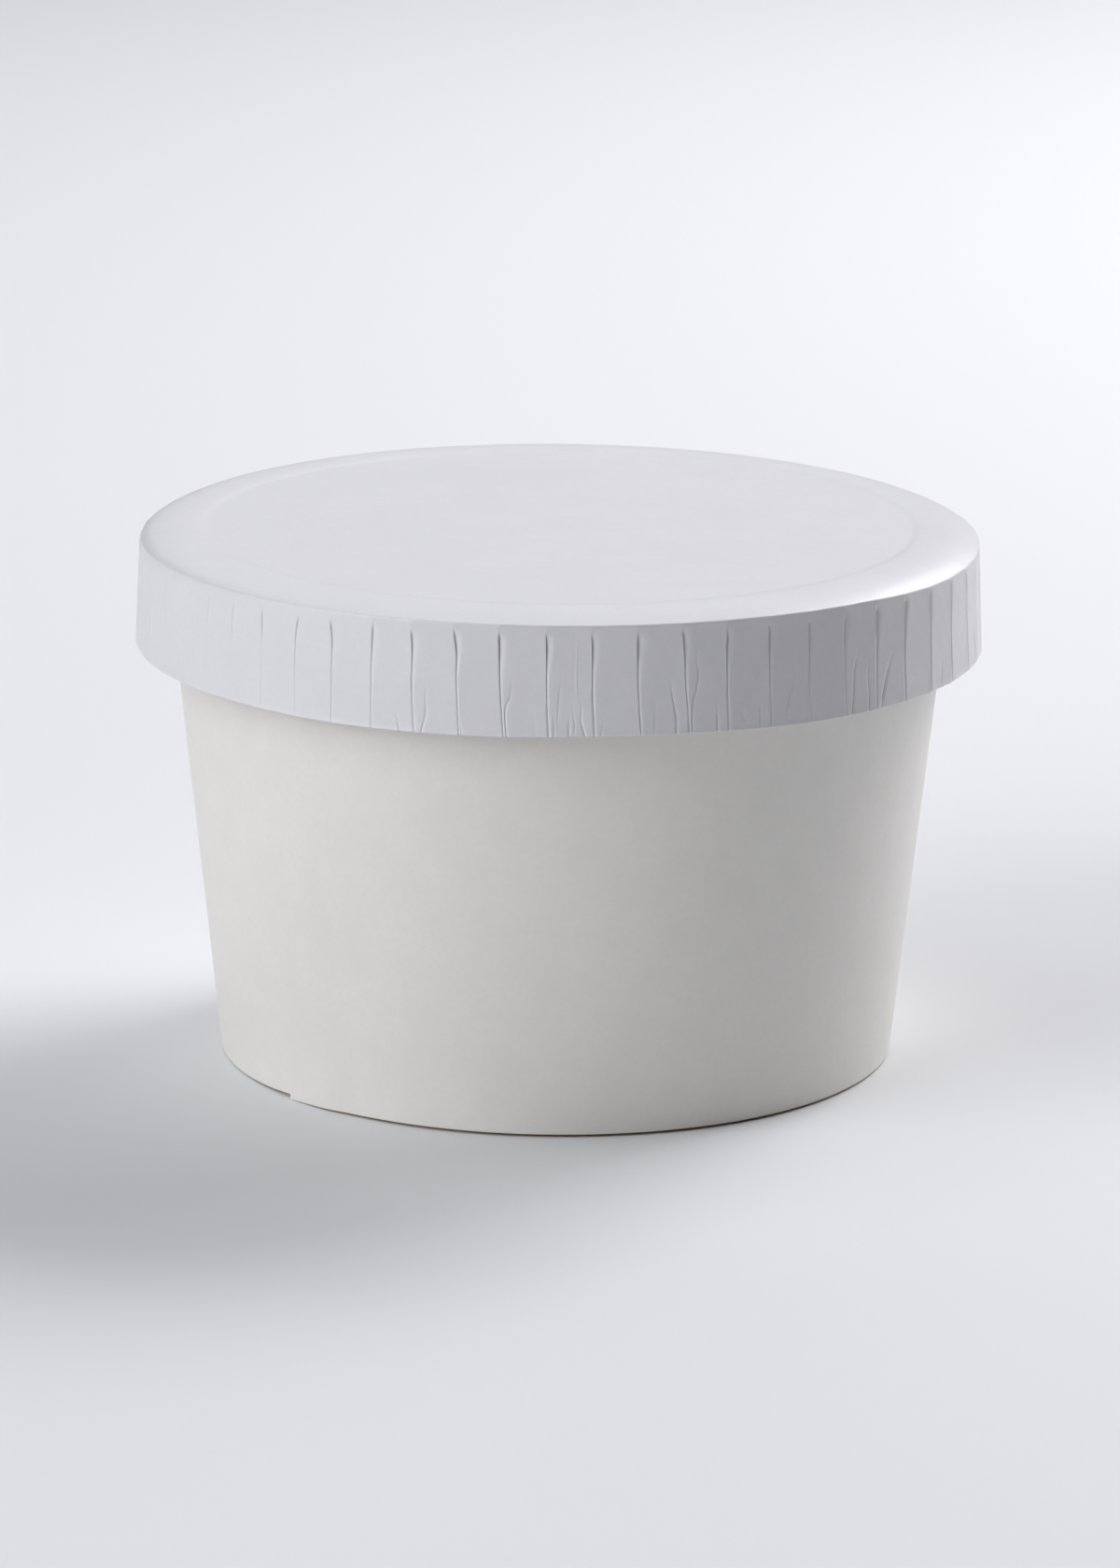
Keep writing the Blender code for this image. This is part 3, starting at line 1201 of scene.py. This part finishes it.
@dataclass
class LappedTub:
    """The tub: one conical sheet of board with a lapped seam, a rolled bead and a folded foot.

    Attributes:
        mouth: Height of the flat top inside the bead.
        foot_radius: Radius of the wall at the table.
        taper: Growth of the wall's radius with height.
        board: Thickness of the board.
        hem_width: Thickness of the folded foot.
        hem_height: Height of the hem's upper edge.
        recess_top: Height of the solid above the base disc.
        bead_radius: Radius of the bead's roll.
        bead_centre: Radius and height of the bead's centre.
        rounding: Rounding of the foot's fold.
        lap_step: Step where the outer end of the board stops.
        seam_course: Points of (height in mm, angle) of the outer end.
        seam_width: Angle that the step at the seam takes up.
        corner_height: Height of the part of the foot's corner that lifts off the table.
        columns: Number of columns round the tub.
    """

    mouth: float = 73.0 * MM
    foot_radius: float = 47.2 * MM
    taper: float = 0.1063
    board: float = 0.45 * MM
    hem_width: float = 1.25 * MM
    hem_height: float = 6.0 * MM
    recess_top: float = 7.1 * MM
    bead_radius: float = 1.45 * MM
    bead_centre: Point = (55.85 * MM, 71.7 * MM)
    rounding: float = 0.12 * MM
    lap_step: float = 0.38 * MM
    seam_course: tuple[Point, ...] = (
        (0.0, 220.2), (7.0, 220.8), (11.2, 220.0), (15.5, 219.3), (19.7, 218.7), (31.5, 219.7),
        (44.0, 220.3), (53.3, 220.6), (70.0, 220.7),
    )
    seam_width: float = 0.05
    corner_height: float = 0.9 * MM
    columns: int = 600

    def wall_radius(self, height: Array | float) -> Array:
        """Outer radius of the wall at a height."""
        return self.foot_radius + self.taper * height

    def seam(self, height: Array | float) -> Array:
        """Angle of the seam at a height."""
        return smooth_curve([(h * MM, a) for h, a in self.seam_course], height)

    def bead_outline(self) -> list[Point]:
        """Draw the rolled bead, from the mouth over its top and back to the wall.

        Returns:
            Points of (radius, height).
        """
        points = []
        for turn in steps(116.0, -140.0, 12):
            angle = math.radians(turn)
            radius = self.bead_centre[0] + self.bead_radius * math.cos(angle)
            points.append((radius, self.bead_centre[1] + self.bead_radius * math.sin(angle)))
        return points

    def foot_outline(self) -> list[Point]:
        """Draw the foot, from the wall round the fold and up the hem to the base's recess.

        Returns:
            Points of (radius, height).
        """
        points = []
        for turn in steps(0.0, -90.0, 3):
            angle = math.radians(turn)
            radius = self.foot_radius - self.rounding * (1 - math.cos(angle))
            points.append((radius, self.rounding * (1 + math.sin(angle))))
        inner = self.foot_radius - self.hem_width
        points += [(inner + width * MM, 0.0) for width in (0.75, 0.35, 0.15)]
        points.append((inner, 0.15 * MM))
        for height in steps(0.15 * MM, self.hem_height, 6)[1:]:
            points.append((inner + self.taper * height, height))
        for height in (self.hem_height, self.recess_top):
            points.append((float(self.wall_radius(height)) - self.board, height))
        return points

    def outline(self) -> list[Point]:
        """Draw the whole section, from the middle of the mouth to the middle of the recess.

        Returns:
            Points of (radius, height).
        """
        heights = steps(70.2 * MM, 0.8 * MM, 46) + [0.24 * MM]
        wall = [(float(self.wall_radius(height)), height) for height in heights]
        bead, foot = self.bead_outline(), self.foot_outline()
        return [(0.0, self.mouth)] + bead + wall + foot + [(0.0, self.recess_top)]

    def lap(self, past: Array) -> Array:
        """How double the wall is, from 1 beside the seam to 0 where the inner end has stopped."""
        return 1.0 - ease((past - 8.0) / 6.0)

    def foot_lift(self, past: Array) -> Array:
        """Height of the fold's outer corner above the table, at angles past the seam."""
        return smooth_curve(FOOT_GAP, past) * MM

    def brown_share(self, past: Array) -> Array:
        """How much darker brown the fold's lip is made, at angles past the seam."""
        return ease(past / 20.0) * ease((125.0 - past) / 30.0)

    def wander(self, angle: Array, height: Array) -> Array:
        """Work out the very shallow unevenness of the wall.

        Args:
            angle: Angle of each point.
            height: Height of each point.

        Returns:
            How far each point stands out.
        """
        turn = np.radians(angle)
        waves = 0.05 * np.sin(3 * turn + 55 * height) + 0.03 * np.sin(7 * turn - 90 * height + 2.0)
        return waves * MM

    def past_seam(self, column: Array) -> Array:
        """Angle past the seam of each column: the last one stands close before the seam.

        Args:
            column: Numbers of the columns.

        Returns:
            Their angles.
        """
        last = self.columns - 1
        past = self.seam_width / 2 + (360.0 - self.seam_width) * column / last
        return np.where(column == last, 360.0 - self.seam_width / 2, past)

    def press(self, tub: bpy.types.Object) -> None:
        """Step the seam, lift the foot's corner and let the wall wander a little.

        Args:
            tub: The spun tub.
        """
        radius, height, column = spun_places(tub, self.columns)
        past = self.past_seam(column)
        angle = self.seam(height) + past
        on_wall = (radius > self.wall_radius(height) - 0.2 * self.board) & (height > 0.0)
        on_bead = height > 70.3 * MM
        relief = self.lap_step * self.lap(past) * np.where(on_bead, 0.3, 1.0)
        relief = relief + self.wander(angle, height) * ease((70.0 * MM - height) / (8 * MM))
        grown = radius + np.where(on_wall & (radius > 30 * MM), relief, 0.0)
        inner = self.foot_radius - self.hem_width
        corner = (height < self.corner_height) & (radius > inner + 0.3 * MM)
        lifted = height + np.where(corner, self.foot_lift(past) * (1 - height / (1.6 * MM)), 0.0)
        angle[radius < ON_AXIS] = 0.0
        move_vertices(tub, grown, angle, lifted)
        keep_attribute(tub, "fold", np.zeros(len(radius)))
        # The fold's lip is tinted darker brown along the front past the seam
        keep_attribute(tub, "edge", np.where(height < 0.6 * self.rounding, self.brown_share(past), 0.0))

    def finish_foot(self, tub: bpy.types.Object) -> None:
        """Give the foot's underside and the hem's raw edge a darker, browner finish.

        Args:
            tub: The pressed tub.
        """
        for face in tub.data.polygons:
            radius = math.hypot(face.center.x, face.center.y)
            under = face.normal.z < -0.75 and face.center.z < 0.5 * MM
            raw_edge = face.normal.z > 0.8 and abs(face.center.z - self.hem_height) < 0.1 * MM
            if (under or raw_edge) and radius > self.foot_radius - 2 * MM:
                face.material_index = 1

    def build(self) -> bpy.types.Object:
        """Build the tub and dress it.

        Returns:
            The tub.
        """
        tub = Bench.turn("lapped_tub", self.outline(), self.columns)
        self.press(tub)
        Bench.shade(tub, 42.0)
        tub.data.materials.append(TUB_BOARD.material())
        tub.data.materials.append(FOOT_EDGE.material())
        self.finish_foot(tub)
        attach(tub, "root")
        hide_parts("tub")
        return tub


@dataclass
class BaseDisc:
    """The flat board disc that closes the foot.

    Attributes:
        lower: Height of its underside.
        upper: Height of its upper face.
        radius: Its radius.
        softening: How far its rim is rounded off.
        columns: Number of columns round it.
    """

    lower: float
    upper: float
    radius: float
    softening: float = 0.12 * MM
    columns: int = 180

    @classmethod
    def in_box(cls, box: tuple[Vector, Vector]) -> "BaseDisc":
        """Fit a disc to the box of its node.

        Args:
            box: Lowest and highest corners of the node.

        Returns:
            The disc.
        """
        low, high = box
        return cls(lower=low.z, upper=high.z, radius=high.x)

    def outline(self) -> list[Point]:
        """Draw the disc's section.

        Returns:
            Points of (radius, height).
        """
        rim = self.radius - self.softening
        upper_rim = [(rim, self.upper), (self.radius, self.upper - self.softening)]
        lower_rim = [(self.radius, self.lower + self.softening), (rim, self.lower)]
        underside = [(0.75 * self.radius, self.lower), (0.0, self.lower)]
        return [(0.0, self.upper)] + upper_rim + lower_rim + underside

    def build(self) -> bpy.types.Object:
        """Build the disc and dress it.

        Returns:
            The disc.
        """
        disc = Bench.turn("board_base", self.outline(), self.columns)
        keep_attribute(disc, "fold", np.zeros(len(disc.data.vertices)))
        Bench.shade(disc, 35.0)
        disc.data.materials.append(BASE_BOARD.material())
        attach(disc, "root")
        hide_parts("base_disc")
        return disc


# ---------------------------------------------------------------------------------------------
# Studio


@dataclass(frozen=True)
class SoftBox:
    """A square soft light that faces the tub.

    Attributes:
        name: Name of the light.
        azimuth: Its angle round +Z.
        elevation: Its angle above the table.
        distance: Its distance from the tub.
        side: Length of its sides.
        power: Its power in watts.
        colour: Its colour in linear light.
        aim_height: Height on the tub's axis that it faces.
    """

    name: str
    azimuth: float
    elevation: float
    distance: float
    side: float
    power: float
    colour: Colour
    aim_height: float = 40.0 * MM

    def place(self) -> bpy.types.Object:
        """Put the light in the studio.

        Returns:
            The light.
        """
        turn, rise = math.radians(self.azimuth), math.radians(self.elevation)
        aim = Vector((0.0, 0.0, self.aim_height))
        flat = math.cos(rise)
        out = Vector((math.cos(turn) * flat, math.sin(turn) * flat, math.sin(rise)))
        data = bpy.data.lights.new(self.name, "AREA")
        data.shape = "SQUARE"
        data.size = self.side
        data.energy = self.power
        data.color = self.colour
        light = bpy.data.objects.new(self.name, data)
        light.location = aim + out * self.distance
        light.rotation_mode = "QUATERNION"
        light.rotation_quaternion = (-out).to_track_quat("-Z", "Y")
        bpy.context.scene.collection.objects.link(light)
        return light


@dataclass(frozen=True)
class Studio:
    """A pale seamless sweep, soft lights and the camera.

    Attributes:
        width: Width of the sweep.
        front: How far the sweep reaches in front of the tub.
        back: How far behind the tub it turns up.
        height: Height of its back.
        curve: Reach of the curve between floor and back.
        paint: Colour of the sweep.
        camera_distance: Distance of the camera from its target.
        camera_rise: The camera's angle above the table.
        camera_roll: The camera's turn about its own line of sight.
        target_height: Height of the camera's target.
        lens: Focal length in mm, for a sensor whose long side is 36 mm.
        shift: The camera's shift across and up, as shares of the frame's long side.
        lights: The soft lights.
    """

    width: float = 8.0
    front: float = 2.5
    back: float = 3.6
    height: float = 3.0
    curve: float = 1.6
    paint: Colour = (0.750, 0.756, 0.758)
    camera_distance: float = 974.4 * MM
    camera_rise: float = 14.537
    camera_roll: float = 0.495
    target_height: float = 36.5 * MM
    lens: float = 159.5
    shift: Point = (2.7 / 1680, 4.5 / 1680)
    lights: tuple[SoftBox, ...] = (
        SoftBox("key", 40.0, 30.0, 1.5, 1.2, 14.8, (0.97, 0.97, 1.0)),
        SoftBox("key_core", 45.5, 42.5, 1.5, 0.6, 10.5, (0.955, 0.945, 1.0)),
        SoftBox("rear", 90.0, 35.0, 1.5, 1.0, 3.05, (0.915, 0.925, 1.0)),
        SoftBox("high_fill", 180.0, 60.0, 1.5, 1.0, 4.7, (0.91, 0.95, 1.0)),
        SoftBox("fill", 215.0, 30.0, 1.5, 1.0, 11.3, (0.92, 0.95, 1.0)),
        SoftBox("low_fill", 215.0, 5.0, 1.5, 1.2, 7.2, (1.0, 0.98, 0.98)),
        SoftBox("front_fill", 230.0, 60.0, 1.5, 1.2, 0.95, (0.95, 0.945, 0.975)),
    )

    def lay_sweep(self) -> bpy.types.Object:
        """Lay the floor and turn it up behind the tub in one wide curve.

        Returns:
            The sweep.
        """
        Bench.deselect()
        middle = (0.0, (self.back - self.front) / 2, 0.0)
        bpy.ops.mesh.primitive_plane_add(size=1.0, location=middle)
        sweep = bpy.context.object
        sweep.name = sweep.data.name = "sweep"
        bpy.ops.transform.resize(value=(self.width, self.front + self.back, 1.0))
        bpy.ops.object.transform_apply(location=True, rotation=True, scale=True)
        bpy.ops.object.mode_set(mode="EDIT")
        bpy.ops.mesh.select_all(action="DESELECT")
        bpy.ops.object.mode_set(mode="OBJECT")
        for edge in sweep.data.edges:
            ends = [sweep.data.vertices[i].co.y for i in edge.vertices]
            edge.select = min(ends) > self.back - MM
        bpy.ops.object.mode_set(mode="EDIT")
        bpy.ops.mesh.select_mode(type="EDGE")
        bpy.ops.mesh.extrude_region_move(TRANSFORM_OT_translate={"value": (0.0, 0.0, self.height)})
        bpy.ops.object.mode_set(mode="OBJECT")
        for edge in sweep.data.edges:
            ends = [sweep.data.vertices[i].co for i in edge.vertices]
            edge.select = all(end.y > self.back - MM and end.z < MM for end in ends)
        bpy.ops.object.mode_set(mode="EDIT")
        bpy.ops.mesh.bevel(offset=self.curve, segments=24, affect="EDGES")
        bpy.ops.object.mode_set(mode="OBJECT")
        Bench.shade(sweep, 40.0)
        sweep.data.materials.append(self.sweep_material())
        return sweep

    def sweep_material(self) -> bpy.types.Material:
        """Make the sweep's plain pale paint.

        Returns:
            The material.
        """
        sheet = NodeSheet("pale_sweep")
        sheet.shader.inputs["Base Color"].default_value = (*self.paint, 1.0)
        sheet.shader.inputs["Roughness"].default_value = 0.6
        sheet.shader.inputs["Specular IOR Level"].default_value = 0.3
        return sheet.material

    def light(self) -> None:
        """Switch on the soft lights, in a studio that is dark but for them."""
        for box in self.lights:
            box.place()
        world = bpy.data.worlds.new("studio_air")
        world.use_nodes = True
        world.node_tree.nodes["Background"].inputs["Strength"].default_value = 0.0
        bpy.context.scene.world = world
        bpy.context.scene.view_settings.view_transform = "Standard"

    def set_camera(self) -> bpy.types.Object:
        """Stand the camera in front of the tub.

        Returns:
            The camera.
        """
        rise = math.radians(self.camera_rise)
        target = Vector((0.0, 0.0, self.target_height))
        back = Vector((0.0, -math.cos(rise), math.sin(rise)))
        data = bpy.data.cameras.new("camera")
        data.lens = self.lens
        data.sensor_width = 36.0
        data.shift_x, data.shift_y = self.shift
        data.clip_start, data.clip_end = 0.05, 50.0
        camera = bpy.data.objects.new("camera", data)
        camera.location = target + back * self.camera_distance
        camera.rotation_mode = "QUATERNION"
        roll = Quaternion((0.0, 0.0, 1.0), math.radians(self.camera_roll))
        camera.rotation_quaternion = (-back).to_track_quat("-Z", "Y") @ roll
        bpy.context.scene.collection.objects.link(camera)
        bpy.context.scene.camera = camera
        return camera

    def build(self) -> None:
        """Set up the sweep, the lights and the camera."""
        self.lay_sweep()
        self.light()
        self.set_camera()


# ---------------------------------------------------------------------------------------------


def report(piece: bpy.types.Object) -> None:
    """Log a finished piece with its size.

    Args:
        piece: The piece.
    """
    size = ", ".join(f"{side / MM:.1f}" for side in piece.dimensions)
    LOG.info("%s: %d faces, %s mm", piece.name, len(piece.data.polygons), size)


def main() -> None:
    """Build the tub, its base disc, its lid and the studio, and report each piece."""
    logging.basicConfig(level=logging.INFO, format="%(message)s")
    report(LappedTub().build())
    report(BaseDisc.in_box(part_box("base_disc")).build())
    report(PressedLid.in_box(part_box("lid")).build())
    Studio().build()


if __name__ == "__main__":
    main()
